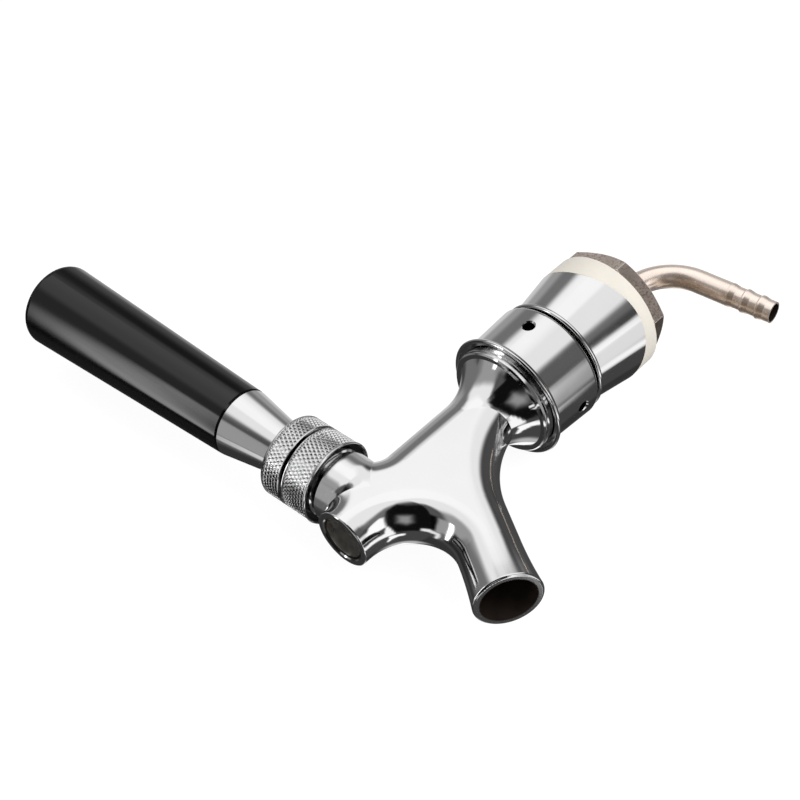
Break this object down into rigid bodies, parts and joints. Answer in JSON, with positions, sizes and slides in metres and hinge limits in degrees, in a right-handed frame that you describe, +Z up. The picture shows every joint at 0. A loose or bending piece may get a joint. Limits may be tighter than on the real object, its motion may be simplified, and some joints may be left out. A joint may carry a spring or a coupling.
{
  "type": "beer faucet with shank",
  "caption": "Rear-closing beer faucet: four-branch chrome body, knurled bonnet, ball lever with black grip, coupling nut, short tower shank, wall flange and barbed elbow tail.",
  "frame": {"origin": "on the shank's axis where it meets the outside of the round tower", "axes": "+Z up along the handle, +Y through the wall towards the beer line, -Y towards the person who pours, +X to the right as seen from behind the wall; X=0 is the plane of symmetry"},
  "size_m": [0.038, 0.1433, 0.1829],
  "materials": {
    "cast_chrome": "mirror plated casting",
    "knurl_chrome": "plated diamond knurl with smooth lips",
    "ferrule_chrome": "mirror plated cone",
    "nut_chrome": "mirror plated ring nut",
    "flange_chrome": "mirror plated cone",
    "lever_steel": "turned stainless rod",
    "shaft_steel": "turned stainless, dull at the front disc",
    "shank_brass": "nickel plated brass",
    "lock_nut_nickel": "dull speckled nickel on brass",
    "elbow_nickel": "satin champagne nickel",
    "grip_black": "glossy moulded black",
    "washer_cream": "satin cream moulded plastic",
    "cup_nylon": "natural nylon",
    "seal_rubber": "moulded black rubber",
    "insert_brass": "turned brass"
  },
  "bodies": {
    "tap": {"faucet_body": "cast_chrome", "bonnet": "knurl_chrome", "friction_washer": "cup_nylon", "ball_washer": "cup_nylon", "coupling_gasket": "seal_rubber", "shank_tube": "shank_brass", "elbow_tube": "elbow_nickel"},
    "wall_pieces": {"wall_flange": "flange_chrome", "wall_washer": "washer_cream"},
    "lock": {"lock_nut": "lock_nut_nickel"},
    "nut": {"coupling_nut": "nut_chrome"},
    "shaft": {"shaft": "shaft_steel", "shaft_seal": "seal_rubber", "shaft_seat": "seal_rubber", "seat_washer": "insert_brass", "shaft_nut": "insert_brass"},
    "lever": {"lever": "lever_steel", "lever_collar": "knurl_chrome", "handle_ferrule": "ferrule_chrome", "handle_insert": "insert_brass", "handle_grip": "grip_black"}
  },
  "joints": [
    {"name": "lever_tilt", "type": "hinge", "parent": "tap", "child": "lever", "pos_m": [0, -0.08715, 0.016], "axis": [1, 0, 0], "range_deg": [0, 20]},
    {"name": "shaft_slide", "type": "slide", "parent": "tap", "child": "shaft", "axis": [0, 1, 0], "range_m": [0, 0.0055]},
    {"name": "nut_turn", "type": "hinge", "parent": "tap", "child": "nut", "pos_m": [0, -0.0254, 0], "axis": [0, 1, 0], "continuous": true},
    {"name": "wall_turn", "type": "hinge", "parent": "tap", "child": "wall_pieces", "pos_m": [0, 0, 0], "axis": [0, 1, 0], "continuous": true},
    {"name": "lock_turn", "type": "hinge", "parent": "tap", "child": "lock", "pos_m": [0, 0.0118, 0], "axis": [0, 1, 0], "continuous": true}
  ],
  "couplings": [
    {"joint": "shaft_slide", "follows": "lever_tilt", "m_per_rad": 0.015612}
  ]
}
